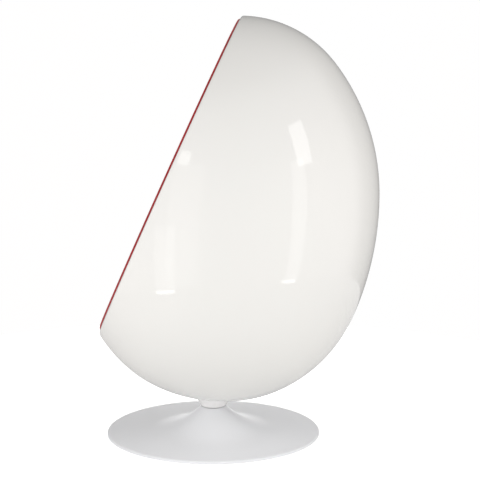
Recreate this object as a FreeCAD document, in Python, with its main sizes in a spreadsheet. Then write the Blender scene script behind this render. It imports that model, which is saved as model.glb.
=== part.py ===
import FreeCAD, Part
import math
import os

import Sketcher
from FreeCAD import Matrix, Placement, Rotation, Vector

# Swivel armchair: an egg-shaped shell with a padded inside, on a round pedestal.
# Millimetres. The origin is on the floor on the swivel axis, +Z is up and the chair looks along -Y.

sizes = {
    # Egg form of the shell: four tangent arcs swept round a leaning axis, then pressed flatter
    # from side to side. The arcs are crown, shoulder, side and bowl, each up to a turn from the top.
    "crownRadius": 365.1,
    "shoulderRadius": 661.0,
    "sideRadius": 939.7,
    "crownTurn": 43.6,
    "shoulderTurn": 80.8,
    "sideTurn": 104.9,
    "eggHalfWidth": 430.0,
    "eggTilt": 8.6,
    "eggCentreBack": 49.2,
    # Slanted opening, this far in front of the egg's centre
    "openingTilt": 24.4,
    "openingDistance": 209.3,
    # Shell wall and the flange that it turns in round the opening
    "shellWall": 7.0,
    "flangeWall": 7.0,
    "flangeWidth": 20.0,
    "lipRadius": 6.0,
    # Red trim on the flange
    "trimInset": 9.0,
    "trimHeight": 6.0,
    # Padded lining
    "softGap": 0.3,
    "foamThickness": 20.0,
    "coverThickness": 4.0,
    "goreCount": 8.0,
    "seamGap": 0.8,
    "crossSeamHeight": 375.0,
    "buttonRadius": 17.0,
    "buttonHeight": 9.0,
    "buttonRound": 4.0,
    # Seat, whose base is this far above the shell's lowest part
    "seatForward": 19.2,
    "seatBaseHeight": 150.5,
    "seatTilt": 5.0,
    "seatRadius": 350.0,
    "seatThickness": 122.0,
    "seatCrown": 26.0,
    "seatCrownFullness": 0.78,
    "seatLowerRound": 34.0,
    "seatUpperRound": 46.0,
    "seatSideBulge": 5.0,
    # Back cushion, whose bottom is measured along the egg's axis from the egg's centre
    "backBottom": -301.0,
    "backLength": 501.0,
    "backLowThickness": 145.0,
    "backHighThickness": 115.0,
    "backHalfAngle": 42.0,
    # Head cushion, this far above the back cushion
    "headGap": 26.0,
    "headLength": 178.0,
    "headThickness": 82.0,
    "headHalfAngle": 34.0,
    # Form of both: how thick they are at their ends and sides, and how far the ends draw in
    "cushionEdgeShare": 0.36,
    "cushionSideShare": 0.56,
    "cushionDrawnIn": 0.14,
    # Hook-and-loop strips behind the cushions
    "stripThickness": 2.4,
    "stripWidth": 38.0,
    "backStripSpacing": 260.0,
    "backStripLength": 240.0,
    "headStripSpacing": 150.0,
    "headStripLength": 90.0,
    # Steel plate in the shell's bottom, the board under it and the room left round them
    "plateRadius": 100.0,
    "plateThickness": 6.0,
    "boardEdge": 36.0,
    "boardHeight": 38.1,
    "recessEdge": 10.0,
    "recessRoom": 10.0,
    # Hub tube and its bushes, which turn round the spindle
    "spindleRadius": 12.5,
    "runningGap": 0.05,
    "bushWall": 4.0,
    "bushLength": 20.0,
    "hubWall": 5.5,
    "hubLength": 100.0,
    "hubHoleGap": 0.5,
    # Bolts that clamp plate, board, shell and neck together
    "hubBoltCount": 6.0,
    "hubBoltOffset": 11.0,
    "hubBoltRadius": 4.0,
    "hubBoltHoleGap": 0.4,
    "hubBoltMargin": 5.0,
    "hubBoltHeadRadius": 7.5,
    "hubBoltHeadHeight": 5.3,
    "hubWasherRadius": 8.0,
    "hubWasherThickness": 1.6,
    # Screws that hold the plate to the board
    "boardScrewCount": 6.0,
    "boardScrewInset": 16.0,
    "boardScrewRadius": 2.5,
    "boardScrewLength": 18.0,
    "boardScrewHeadRadius": 5.0,
    "boardScrewHeadHeight": 3.0,
    # Swivel joint, where neck cone and trumpet meet, and the cone up to the shell
    "swivelRadius": 40.0,
    "swivelGap": 2.4,
    "neckHeight": 22.9,
    "neckTopRadius": 58.0,
    "neckOverrun": 11.1,
    "neckRecessGap": 2.5,
    # Thrust ball bearing
    "raceSeatDepth": 1.2,
    "raceThickness": 3.4,
    "upperRaceBoreGap": 0.5,
    "grooveDepth": 1.1,
    "grooveGap": 0.05,
    "ballCount": 12.0,
    "ballRadius": 3.2,
    "cageBoreGap": 0.6,
    "cageWeb": 0.85,
    "cageEdgeGap": 0.2,
    "cageGap": 0.8,
    # What keeps the chair on the spindle
    "keeperGap": 0.3,
    "keeperThickness": 3.0,
    "circlipThickness": 1.75,
    "circlipWidth": 4.0,
    "circlipGrooveDepth": 1.2,
    "circlipOpening": 7.0,
    "spindleEnd": 5.0,
    "spindleChamfer": 1.5,
    # Column in the pedestal, and the ledge on it that carries the trumpet
    "spigotWall": 12.5,
    "trumpetLedge": 7.0,
    "columnFootThickness": 8.0,
    "columnFootEdge": 18.0,
    "columnBoltCount": 4.0,
    "columnBoltOffset": 20.0,
    "columnBoltRadius": 5.0,
    "columnBoltHoleGap": 0.5,
    "columnBoltHeadRadius": 9.2,
    "columnBoltHeadHeight": 6.4,
    "columnWasherRadius": 10.0,
    "columnWasherThickness": 2.0,
    # Ballast disc and foot ring
    "footRingHeight": 4.0,
    "footRingInset": 18.0,
    "footRingWidth": 30.0,
    "ballastThickness": 8.0,
    "ballastInset": 22.0,
    "ballastGap": 0.4,
    # Trumpet cover of the pedestal
    "trumpetRadius": 334.0,
    "trumpetTop": 86.2,
    "trumpetWall": 3.0,
    "trumpetFlare": 240.0,
    "trumpetNeckSlope": 45.0,
    "trumpetFootSlope": 3.0,
    "trumpetRimRound": 6.0,
    "trumpetRimBottom": 1.5,
}

tolerance = 0.01

document = FreeCAD.newDocument("SwivelArmchair")
sheet = document.addObject("Spreadsheet::Sheet", "Sizes")
for row, (name, size) in enumerate(sizes.items(), start=1):
    sheet.set(f"A{row}", name)
    sheet.set(f"B{row}", str(size))
    sheet.setAlias(f"B{row}", name)
document.recompute()

nodes = []


def size(name):
    return float(sheet.get(name))


# A length is written as words of the sheet joined by plus and minus, such as "plateRadius + boardEdge"
def amount(text):
    total = 0.0
    sign = 1.0
    for word in text.split():
        if word in "+-":
            sign = 1.0 if word == "+" else -1.0
        elif word == "0":
            continue
        else:
            total += sign * size(word)
    return total


def expression(text):
    return " ".join(word if word in "+-0" else "Sizes." + word for word in text.split())


# Heights from the floor up
ballastTop = "footRingHeight + ballastThickness"
footTop = ballastTop + " + columnFootThickness"
columnShoulder = "trumpetTop - trumpetWall"
raceSeat = "trumpetTop - raceSeatDepth"
lowerRaceTop = raceSeat + " + raceThickness"
ballMiddle = lowerRaceTop + " + ballRadius - grooveDepth"
upperRaceBottom = ballMiddle + " + ballRadius - grooveDepth"
hubBottom = upperRaceBottom + " + raceThickness"
hubTop = hubBottom + " + hubLength"
neckBottom = "trumpetTop + swivelGap"
shellSeat = neckBottom + " + neckHeight"
neckTop = shellSeat + " + neckOverrun"
boardTop = shellSeat + " + boardHeight"
plateTop = boardTop + " + plateThickness"
keeperBottom = hubTop + " + keeperGap"
clipBottom = keeperBottom + " + keeperThickness"
clipTop = clipBottom + " + circlipThickness"
spindleTop = clipTop + " + spindleEnd"
recessTop = spindleTop + " + recessRoom"

# Radii from the swivel axis out
hubBore = "spindleRadius + bushWall"
hubRadius = hubBore + " + hubWall"
hubHole = hubRadius + " + hubHoleGap"
hubBoltCircle = hubRadius + " + hubBoltOffset"
hubBoltHole = "hubBoltRadius + hubBoltHoleGap"
cageInside = "spindleRadius + cageBoreGap"
ballHole = "ballRadius + grooveGap"
ballCircle = f"{cageInside} + cageWeb + {ballHole}"
cageOutside = f"{ballCircle} + {ballHole} + cageWeb"
raceRadius = cageOutside + " + cageEdgeGap"
neckRecess = raceRadius + " + neckRecessGap"
spigotRadius = "spindleRadius + spigotWall"
columnRadius = spigotRadius + " + trumpetLedge"
columnBoltCircle = columnRadius + " + columnBoltOffset"
columnBoltHole = "columnBoltRadius + columnBoltHoleGap"
columnFootRadius = columnBoltCircle + " + columnFootEdge"
boardRadius = "plateRadius + boardEdge"
recessRadius = boardRadius + " + recessEdge"
boardScrewCircle = "plateRadius - boardScrewInset"
ballastRadius = "trumpetRadius - ballastInset"
footRingOutside = "trumpetRadius - footRingInset"
footRingInside = footRingOutside + " - footRingWidth"


def keep(item, label):
    item.Label = label
    nodes.append(item)
    return item


def keepShape(shape, label):
    item = document.addObject("Part::Feature", label)
    item.Shape = shape
    return keep(item, label)


def originFeature(body, role):
    return next(item for item in body.Origin.OriginFeatures if item.Role == role)


# Turned pieces: a closed outline in radius and height, swept round the swivel axis

def turnedBody(label, outline):
    body = document.addObject("PartDesign::Body", label)
    sketch = body.newObject("Sketcher::SketchObject", label + "Outline")
    sketch.AttachmentSupport = (originFeature(body, "XZ_Plane"), [""])
    sketch.MapMode = "FlatFace"
    corners = [Vector(amount(radius), amount(height), 0) for radius, height in outline]
    count = len(corners)
    for index in range(count):
        sketch.addGeometry(Part.LineSegment(corners[index], corners[(index + 1) % count]), False)
    for index in range(count):
        sketch.addConstraint(Sketcher.Constraint("Coincident", index, 2, (index + 1) % count, 1))
    for index, (radius, height) in enumerate(outline):
        if radius == "0":
            sketch.addConstraint(Sketcher.Constraint("PointOnObject", index, 1, -2))
        else:
            number = sketch.addConstraint(
                Sketcher.Constraint("DistanceX", -1, 1, index, 1, corners[index].x))
            sketch.setExpression(f"Constraints[{number}]", expression(radius))
        if height == "0":
            sketch.addConstraint(Sketcher.Constraint("PointOnObject", index, 1, -1))
        else:
            number = sketch.addConstraint(
                Sketcher.Constraint("DistanceY", -1, 1, index, 1, corners[index].y))
            sketch.setExpression(f"Constraints[{number}]", expression(height))
    turn = body.newObject("PartDesign::Revolution", label + "Turned")
    turn.Profile = sketch
    turn.ReferenceAxis = (sketch, ["V_Axis"])
    turn.Angle = 360.0
    return body


# A circle of round holes through a turned piece
def drillCircle(body, circle, radius, count):
    sketch = body.newObject("Sketcher::SketchObject", body.Name + "Hole")
    sketch.AttachmentSupport = (originFeature(body, "XY_Plane"), [""])
    sketch.MapMode = "FlatFace"
    centre = Vector(amount(circle), 0, 0)
    sketch.addGeometry(Part.Circle(centre, Vector(0, 0, 1), amount(radius)), False)
    sketch.addConstraint(Sketcher.Constraint("PointOnObject", 0, 3, -1))
    number = sketch.addConstraint(Sketcher.Constraint("DistanceX", -1, 1, 0, 3, amount(circle)))
    sketch.setExpression(f"Constraints[{number}]", expression(circle))
    number = sketch.addConstraint(Sketcher.Constraint("Radius", 0, amount(radius)))
    sketch.setExpression(f"Constraints[{number}]", expression(radius))
    pocket = body.newObject("PartDesign::Pocket", body.Name + "Drill")
    pocket.Profile = sketch
    pocket.Type = "ThroughAll"
    pocket.Midplane = True
    document.recompute()
    pattern = body.newObject("PartDesign::PolarPattern", body.Name + "Drills")
    pattern.Originals = [pocket]
    pattern.Axis = (originFeature(body, "Z_Axis"), [""])
    pattern.Angle = 360.0
    pattern.setExpression("Occurrences", expression(count))
    body.Tip = pattern


# Round the swivel axis, one copy of a shape at each of a number of equal steps
def ringOfShapes(shape, radius, count):
    copies = []
    for index in range(int(count)):
        angle = 360.0 * index / int(count)
        copy = shape.copy()
        place = Rotation(Vector(0, 0, 1), angle).multVec(Vector(radius, 0, 0))
        copy.Placement = Placement(place, Rotation(Vector(0, 0, 1), angle)).multiply(copy.Placement)
        copies.append(copy)
    return Part.makeCompound(copies)


def hexagonPrism(acrossCorners, height, bottom):
    corners = []
    for index in range(7):
        angle = math.radians(60.0 * index)
        corners.append(Vector(acrossCorners * math.cos(angle), acrossCorners * math.sin(angle), bottom))
    return Part.Face(Part.makePolygon(corners)).extrude(Vector(0, 0, height))


def washerShape(radius, bore, thickness, bottom):
    outer = Part.makeCylinder(radius, thickness, Vector(0, 0, bottom))
    return outer.cut(Part.makeCylinder(bore, thickness, Vector(0, 0, bottom)))


# Egg form, which stays round until everything in it is cut, and is then pressed to its width

eggRadii = [size("crownRadius"), size("shoulderRadius"), size("sideRadius")]
eggTurns = [0.0, size("crownTurn"), size("shoulderTurn"), size("sideTurn"), 180.0]


def stepOut(radius, turn):
    angle = math.radians(turn)
    return Vector(0, -radius * math.sin(angle), radius * math.cos(angle))


# The bowl's arc is centred on the axis, so its radius follows from the other three
sidewards = 0.0
for radius, start, end in zip(eggRadii, eggTurns, eggTurns[1:]):
    sidewards += radius * (math.sin(math.radians(end)) - math.sin(math.radians(start)))
eggRadii.append(sidewards / math.sin(math.radians(size("sideTurn"))))


def eggArcs():
    arcs = []
    end = Vector(0, 0, 0)
    for radius, start, turn in zip(eggRadii, eggTurns, eggTurns[1:]):
        centre = end - stepOut(radius, start)
        arcs.append((centre, radius, start, turn))
        end = centre + stepOut(radius, turn)
    lift = Vector(0, 0, -end.z / 2)
    return [(centre + lift, radius, start, turn) for centre, radius, start, turn in arcs]


arcsOfEgg = eggArcs()
halfLength = arcsOfEgg[0][0].z + arcsOfEgg[0][1]
bowlCentre, bowlRadius = arcsOfEgg[3][:2]

# The shell stands with its bowl on the neck cone, whose axis is not the middle of the bowl
eggLean = Rotation(Vector(1, 0, 0), -size("eggTilt"))
bowlMiddle = Vector(0, size("eggCentreBack"), 0) + eggLean.multVec(bowlCentre)
bowlDrop = math.sqrt(bowlRadius ** 2 - bowlMiddle.y ** 2) - bowlMiddle.z
eggCentre = Vector(0, size("eggCentreBack"), amount(shellSeat) + bowlDrop)
eggPlace = Placement(eggCentre, eggLean)


# Half thickness of the egg at a height along its axis
def eggRadius(inset, height):
    for centre, radius, start, turn in arcsOfEgg:
        if height >= (centre + stepOut(radius - inset, turn)).z:
            return -centre.y + math.sqrt(max((radius - inset) ** 2 - (height - centre.z) ** 2, 0.0))
    return 0.0


sideArc = next(arc for arc in arcsOfEgg if arc[2] <= 90.0 <= arc[3])
halfDepth = sideArc[1] - sideArc[0].y
pressShare = size("eggHalfWidth") / halfDepth
pressMatrix = Matrix()
pressMatrix.scale(Vector(pressShare, 1, 1))


def pressed(shape):
    flatter = shape.transformGeometry(pressMatrix)
    if not flatter.isValid():
        flatter.fix(tolerance, tolerance, tolerance)
    return flatter


def eggSolid(inset):
    edges = []
    for centre, radius, start, turn in arcsOfEgg:
        ends = [centre + stepOut(radius - inset, angle) for angle in (start, (start + turn) / 2, turn)]
        edges.append(Part.Arc(*ends).toShape())
    top = edges[0].Vertexes[0].Point
    bottom = edges[-1].Vertexes[-1].Point
    edges.append(Part.makeLine(bottom, top))
    solid = Part.Face(Part.Wire(edges)).revolve(Vector(0, 0, 0), Vector(0, 0, 1), 360)
    solid.Placement = eggPlace
    return solid


# A point of the round egg that is inset from its outside, at a height along its axis
def eggPoint(inset, height, azimuth):
    turn = math.radians(azimuth)
    return Vector(math.sin(turn), math.cos(turn), 0) * eggRadius(inset, height) + Vector(0, 0, height)


# Blocks that cut at the opening's plane, whose normal points into the chair
farAway = 8 * halfLength
openingTurn = Rotation(Vector(1, 0, 0), -90.0 - size("openingTilt"))
openingNormal = openingTurn.multVec(Vector(0, 0, 1))
openingPlace = Placement(eggCentre - openingNormal * size("openingDistance"), openingTurn)


def placedBlock(place, bottom, height):
    corner = Vector(-farAway / 2, -farAway / 2, bottom)
    block = Part.makeBox(farAway, farAway, height, corner)
    block.Placement = place.multiply(block.Placement)
    return block


def behindOpening(depth):
    return placedBlock(openingPlace, depth, farAway)


def uprightCylinder(radius, bottom, top):
    return Part.makeCylinder(radius, top - bottom, Vector(0, 0, bottom))


# An upright cutter for the round egg, which is a true cylinder once pressed
def uprightCutter(radius, bottom, top, centre=Vector(0, 0, 0)):
    middle = Vector(centre.x / pressShare, centre.y, bottom)
    sideways = middle + Vector(radius / pressShare, 0, 0)
    backwards = middle + Vector(0, radius, 0)
    if pressShare < 1:
        oval = Part.Ellipse(sideways, backwards, middle)
    else:
        oval = Part.Ellipse(backwards, sideways, middle)
    return Part.Face(Part.Wire([oval.toShape()])).extrude(Vector(0, 0, top - bottom))


# Shell with its rounded lip, turned-in flange, hub hole and bolt holes

flangeWall = size("flangeWall")
shellInset = size("shellWall")


def inOpeningPlane(edge):
    middle = edge.valueAt((edge.FirstParameter + edge.LastParameter) / 2)
    return abs(openingPlace.inverse().multVec(middle).z) < tolerance


def shellShape():
    shell = eggSolid(0).common(behindOpening(0))
    shell = shell.makeFillet(size("lipRadius"), [edge for edge in shell.Edges if inOpeningPlane(edge)])
    cavity = eggSolid(shellInset).common(behindOpening(flangeWall))
    shell = shell.cut([cavity, eggSolid(size("flangeWidth"))])
    low = amount(neckBottom)
    high = amount(boardTop)
    holes = [uprightCutter(amount(hubHole), low, high)]
    for index in range(int(size("hubBoltCount"))):
        turn = Rotation(Vector(0, 0, 1), 360.0 * index / int(size("hubBoltCount")))
        centre = turn.multVec(Vector(amount(hubBoltCircle), 0, 0))
        holes.append(uprightCutter(amount(hubBoltHole), low, high, centre))
    return pressed(shell.cut(holes))


keepShape(shellShape(), "outer_shell")

# Trim along the opening, on the flange

trimSlab = placedBlock(openingPlace, -size("trimHeight"), size("trimHeight"))
trimShape = eggSolid(size("trimInset")).cut(eggSolid(size("flangeWidth"))).common(trimSlab)
keepShape(pressed(trimShape), "rim_trim")

# Foam on the shell's inside, and the cover over it, which laps over the flange's edge

softGap = size("softGap")
foamInset = shellInset + softGap
coverInset = foamInset + size("foamThickness")
insideInset = coverInset + size("coverThickness")
recess = uprightCutter(amount(recessRadius), 0, amount(recessTop))

foamShape = eggSolid(foamInset).cut(eggSolid(coverInset))
foamShape = foamShape.common(behindOpening(flangeWall + softGap)).cut(recess)
keepShape(pressed(foamShape), "liner_foam")

insideEgg = eggSolid(insideInset)
coverLap = eggSolid(size("flangeWidth") + softGap).common(placedBlock(openingPlace, 0, flangeWall))
coverWall = eggSolid(coverInset).common(behindOpening(flangeWall))
coverShape = coverLap.fuse(coverWall).cut([insideEgg, recess])

# The cover is sewn from gores, which meet under a button at the top

goreNames = ["back", "back_left", "side_left", "front_left",
             "front", "front_right", "side_right", "back_right"]
goreCount = int(size("goreCount"))
halfGore = 180.0 / goreCount


def goreName(index, part="front"):
    if goreCount == len(goreNames):
        return goreNames[index].replace("front", part)
    return f"{part}_{index + 1}"


def goreBlock(middle):
    apexOut = size("seamGap") / 2 / math.sin(math.radians(halfGore))
    reach = farAway / 2
    corners = []
    for turn, out in ((middle, 0.0), (middle - halfGore, reach), (middle + halfGore, reach)):
        apex = Vector(math.sin(math.radians(middle)), math.cos(math.radians(middle)), 0)
        arm = Vector(math.sin(math.radians(turn)), math.cos(math.radians(turn)), 0)
        corners.append(apex * apexOut + arm * out - Vector(0, 0, reach))
    block = Part.Face(Part.makePolygon(corners + corners[:1])).extrude(Vector(0, 0, 2 * reach))
    block.Placement = eggPlace
    return block


# The opening all but parts the front gores, so a seam across makes each of them two pieces: one
# in the bowl and one at the crown. The seam is this far above the egg's centre, along its axis.
crownBlock = Part.makeBox(
    farAway, farAway, farAway, Vector(-farAway / 2, -farAway / 2, size("crossSeamHeight")))
crownBlock.Placement = eggPlace
frontSpan = 60.0
for index in range(goreCount):
    middle = 2 * halfGore * index
    gore = coverShape.common(goreBlock(middle))
    if abs(middle - 180.0) < frontSpan:
        keepShape(pressed(gore.cut(crownBlock)), "lining_" + goreName(index))
        keepShape(pressed(gore.common(crownBlock)), "lining_" + goreName(index, "crown"))
    else:
        keepShape(pressed(gore), "lining_" + goreName(index, "gore"))

buttonBottom = halfLength - insideInset - size("buttonHeight")
buttonShape = uprightCylinder(size("buttonRadius"), buttonBottom, halfLength)
buttonEdges = [edge for edge in buttonShape.Edges if abs(edge.CenterOfMass.z - buttonBottom) < tolerance]
buttonShape = buttonShape.makeFillet(size("buttonRound"), buttonEdges)
buttonShape.Placement = eggPlace
keepShape(pressed(buttonShape.common(eggSolid(insideInset + softGap))), "crown_button")

# Seat: a foam base that fills the bowl, and an oval cushion on it

seatPlace = Placement(
    Vector(0, amount("eggCentreBack - seatForward"), amount(shellSeat + " + seatBaseHeight")),
    Rotation(Vector(1, 0, 0), -size("seatTilt")))
seatInset = insideInset + softGap
seatEgg = eggSolid(seatInset)
belowSeat = placedBlock(seatPlace, -farAway, farAway)
keepShape(pressed(seatEgg.common(belowSeat).cut(recess)), "seat_base_foam")


# The cushion's own form, or one that is larger all round
def seatForm(larger):
    edge = size("seatRadius") + larger
    low = size("seatLowerRound")
    high = size("seatUpperRound")
    top = size("seatThickness") + larger
    crown = top + size("seatCrown")
    bulge = size("seatSideBulge")
    diagonal = math.sqrt(0.5)
    base = Vector(0, 0, softGap)
    corners = [
        base,
        base + Vector(edge - low, 0, 0),
        base + Vector(edge, 0, low),
        base + Vector(edge, 0, top - high),
        base + Vector(edge - high, 0, top),
        base + Vector(0, 0, crown),
    ]
    lowMiddle = base + Vector(edge - low + low * diagonal, 0, low - low * diagonal)
    sideMiddle = base + Vector(edge + bulge, 0, (low + top - high) / 2)
    highMiddle = base + Vector(edge - high + high * diagonal, 0, top - high + high * diagonal)
    crownMiddle = base + Vector((edge - high) / 2, 0, top + size("seatCrownFullness") * size("seatCrown"))
    edges = [
        Part.makeLine(corners[0], corners[1]),
        Part.Arc(corners[1], lowMiddle, corners[2]).toShape(),
        Part.Arc(corners[2], sideMiddle, corners[3]).toShape(),
        Part.Arc(corners[3], highMiddle, corners[4]).toShape(),
        Part.Arc(corners[4], crownMiddle, corners[5]).toShape(),
        Part.makeLine(corners[5], corners[0]),
    ]
    turned = Part.Face(Part.Wire(edges)).revolve(Vector(0, 0, 0), Vector(0, 0, 1), 360)
    turned.Placement = seatPlace
    return turned


keepShape(pressed(seatForm(0).common(seatEgg)), "seat_cushion")

# Cushions that lean on the lining: sections across the egg's axis, each with a long arc
# behind, a crowned arc in front and short straight sides. They start at the shell's inside, the
# lining trims them, and the back cushion rests on the seat cushion

cushionInset = seatInset + size("stripThickness") + softGap
cushionEgg = eggSolid(cushionInset)
sectionCount = 7


def cushionSection(height, halfAngle, sideThickness, thickness):
    rear = [eggPoint(shellInset, height, azimuth) for azimuth in (-halfAngle, 0, halfAngle)]
    front = [
        eggPoint(cushionInset + sideThickness, height, halfAngle),
        eggPoint(cushionInset + thickness, height, 0),
        eggPoint(cushionInset + sideThickness, height, -halfAngle),
    ]
    return Part.Wire([
        Part.Arc(*rear).toShape(),
        Part.makeLine(rear[2], front[0]),
        Part.Arc(*front).toShape(),
        Part.makeLine(front[2], rear[0]),
    ])


# Sections crowd towards both ends, where the cushion draws in over its seams
def leaningCushion(bottom, top, halfAngle, lowThickness, highThickness):
    edgeShare = size("cushionEdgeShare")
    sideShare = size("cushionSideShare")
    drawnIn = size("cushionDrawnIn")
    wires = []
    for index in range(sectionCount):
        share = (1 - math.cos(math.pi * index / (sectionCount - 1))) / 2
        swell = 1 - abs(2 * share - 1) ** 3
        thickness = lowThickness + (highThickness - lowThickness) * share
        thickness *= edgeShare + (1 - edgeShare) * swell
        wires.append(cushionSection(
            bottom + (top - bottom) * share,
            halfAngle * (1 - drawnIn * (1 - swell)),
            thickness * sideShare,
            thickness))
    cushion = Part.makeLoft(wires, True, False)
    cushion.Placement = eggPlace
    return cushion.common(cushionEgg)


backBottom = size("backBottom")
backTop = backBottom + size("backLength")
headBottom = backTop + size("headGap")
headTop = headBottom + size("headLength")
backCushion = leaningCushion(
    backBottom, backTop, size("backHalfAngle"), size("backLowThickness"), size("backHighThickness"))
keepShape(pressed(backCushion.cut(seatForm(softGap))), "back_cushion")
headCushion = leaningCushion(
    headBottom, headTop, size("headHalfAngle"), size("headThickness"), size("headThickness"))
keepShape(pressed(headCushion), "head_cushion")

stripLayer = seatEgg.cut(eggSolid(seatInset + size("stripThickness")))


def stripPair(spacing, length, middle):
    blocks = []
    for side in (-1, 1):
        corner = Vector(side * spacing / 2 - size("stripWidth") / 2, 0, middle - length / 2)
        block = Part.makeBox(size("stripWidth"), farAway, length, corner)
        block.Placement = eggPlace
        blocks.append(stripLayer.common(block))
    return blocks


strips = stripPair(size("backStripSpacing"), size("backStripLength"), (backBottom + backTop) / 2)
strips += stripPair(size("headStripSpacing"), size("headStripLength"), (headBottom + headTop) / 2)
keepShape(pressed(Part.makeCompound(strips)), "cushion_strips")

# Board bonded into the shell's bottom, and the steel plate and tube on it


# The bowl is a ball before it is pressed, with its poles to the sides, away from the hub
def bowlTool(label, inset):
    ball = Part.makeSphere(bowlRadius - inset, Vector(0, 0, 0), Vector(1, 0, 0))
    ball.Placement = Placement(eggPlace.multVec(bowlCentre), Rotation())
    tool = document.addObject("Part::Feature", label)
    tool.Shape = pressed(ball)
    return tool


boardBlank = turnedBody("BoardBlank", [
    (hubHole, "0"),
    (boardRadius, "0"),
    (boardRadius, boardTop),
    (hubHole, boardTop),
])
drillCircle(boardBlank, hubBoltCircle, hubBoltHole, "hubBoltCount")
boardShaped = document.addObject("Part::Common", "BoardShaped")
boardShaped.Base = boardBlank
boardShaped.Tool = bowlTool("ShellInside", shellInset)

plateBlank = turnedBody("PlateBlank", [
    (hubRadius, boardTop),
    ("plateRadius", boardTop),
    ("plateRadius", plateTop),
    (hubRadius, plateTop),
])
drillCircle(plateBlank, hubBoltCircle, hubBoltHole, "hubBoltCount")

hubTube = turnedBody("hub_tube", [
    (hubBore, hubBottom),
    (hubRadius, hubBottom),
    (hubRadius, hubTop),
    (hubBore, hubTop),
])
keep(hubTube, "hub_tube")

for label, bottom, top in (
        ("lower_bush", hubBottom, hubBottom + " + bushLength"),
        ("upper_bush", hubTop + " - bushLength", hubTop)):
    bush = turnedBody(label, [
        ("spindleRadius + runningGap", bottom),
        (hubBore, bottom),
        (hubBore, top),
        ("spindleRadius + runningGap", top),
    ])
    keep(bush, label)

# Neck cone: its top is shaped to the shell's outside, and its recess holds the bearing

neckBlank = turnedBody("NeckBlank", [
    (neckRecess, neckBottom),
    ("swivelRadius", neckBottom),
    ("neckTopRadius", neckTop),
    (hubRadius, neckTop),
    (hubRadius, hubBottom),
    (neckRecess, hubBottom),
])
neckShaped = document.addObject("Part::Cut", "NeckShaped")
neckShaped.Base = neckBlank
neckShaped.Tool = bowlTool("ShellOutside", 0)

# Fasteners, each set in one node


def headedBolt(shankRadius, shankBottom, headRadius, headHeight, seat):
    shank = uprightCylinder(shankRadius, shankBottom, seat)
    return shank.fuse(hexagonPrism(headRadius, headHeight, seat)).removeSplitter()


hubBolt = headedBolt(
    size("hubBoltRadius"), amount(hubBottom + " + hubBoltMargin"),
    size("hubBoltHeadRadius"), size("hubBoltHeadHeight"), amount(plateTop + " + hubWasherThickness"))
hubBolts = keepShape(ringOfShapes(hubBolt, amount(hubBoltCircle), size("hubBoltCount")), "hub_bolts")
hubWasher = washerShape(
    size("hubWasherRadius"), amount(hubBoltHole), size("hubWasherThickness"), amount(plateTop))
keepShape(ringOfShapes(hubWasher, amount(hubBoltCircle), size("hubBoltCount")), "hub_washers")

neckCone = document.addObject("Part::Cut", "neck_cone")
neckCone.Base = neckShaped
neckCone.Tool = hubBolts
keep(neckCone, "neck_cone")

boardScrew = uprightCylinder(
    size("boardScrewRadius"), amount(plateTop + " - boardScrewLength"), amount(plateTop))
boardScrewHead = uprightCylinder(
    size("boardScrewHeadRadius"), amount(plateTop), amount(plateTop + " + boardScrewHeadHeight"))
boardScrew = boardScrew.fuse(boardScrewHead).removeSplitter()
boardScrews = keepShape(
    ringOfShapes(boardScrew, amount(boardScrewCircle), size("boardScrewCount")), "board_screws")
for label, blank in (("mounting_board", boardShaped), ("hub_plate", plateBlank)):
    drilled = document.addObject("Part::Cut", label + "Drilled")
    drilled.Base = blank
    drilled.Tool = boardScrews
    keep(drilled, label)

# Thrust bearing: two grooved races, a cage and its balls

grooveTool = document.addObject("Part::Feature", "RaceGroove")
grooveTool.Shape = Part.makeTorus(amount(ballCircle), amount(ballHole), Vector(0, 0, amount(ballMiddle)))
for label, bore, bottom, top in (
        ("bearing_lower_race", "spindleRadius + runningGap", raceSeat, lowerRaceTop),
        ("bearing_upper_race", "spindleRadius + upperRaceBoreGap", upperRaceBottom, hubBottom)):
    blank = turnedBody(label + "Blank", [
        (bore, bottom),
        (raceRadius, bottom),
        (raceRadius, top),
        (bore, top),
    ])
    race = document.addObject("Part::Cut", label)
    race.Base = blank
    race.Tool = grooveTool
    keep(race, label)

cageBottom = lowerRaceTop + " + cageGap"
cageTop = upperRaceBottom + " - cageGap"
cage = turnedBody("bearing_cage", [
    (cageInside, cageBottom),
    (cageOutside, cageBottom),
    (cageOutside, cageTop),
    (cageInside, cageTop),
])
drillCircle(cage, ballCircle, ballHole, "ballCount")
keep(cage, "bearing_cage")
ball = Part.makeSphere(size("ballRadius"), Vector(0, 0, amount(ballMiddle)))
keepShape(ringOfShapes(ball, amount(ballCircle), size("ballCount")), "bearing_balls")

# Spindle, with the washer and circlip that keep the chair on it

spindle = turnedBody("spindle", [
    ("0", ballastTop),
    ("spindleRadius", ballastTop),
    ("spindleRadius", clipBottom),
    ("spindleRadius - circlipGrooveDepth", clipBottom),
    ("spindleRadius - circlipGrooveDepth", clipTop),
    ("spindleRadius", clipTop),
    ("spindleRadius", spindleTop + " - spindleChamfer"),
    ("spindleRadius - spindleChamfer", spindleTop),
    ("0", spindleTop),
])
keep(spindle, "spindle")
keeper = turnedBody("keeper_washer", [
    ("spindleRadius + runningGap", keeperBottom),
    (hubRadius, keeperBottom),
    (hubRadius, clipBottom),
    ("spindleRadius + runningGap", clipBottom),
])
keep(keeper, "keeper_washer")
clipRadius = amount("spindleRadius + circlipWidth")
clipShape = washerShape(
    clipRadius, amount("spindleRadius - circlipGrooveDepth"), size("circlipThickness"), amount(clipBottom))
clipGap = Part.makeBox(
    clipRadius, size("circlipOpening"), size("circlipThickness"),
    Vector(0, -size("circlipOpening") / 2, amount(clipBottom)))
keepShape(clipShape.cut(clipGap), "keeper_circlip")

# Pedestal: column, its bolts, the ballast disc and the foot ring

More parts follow.
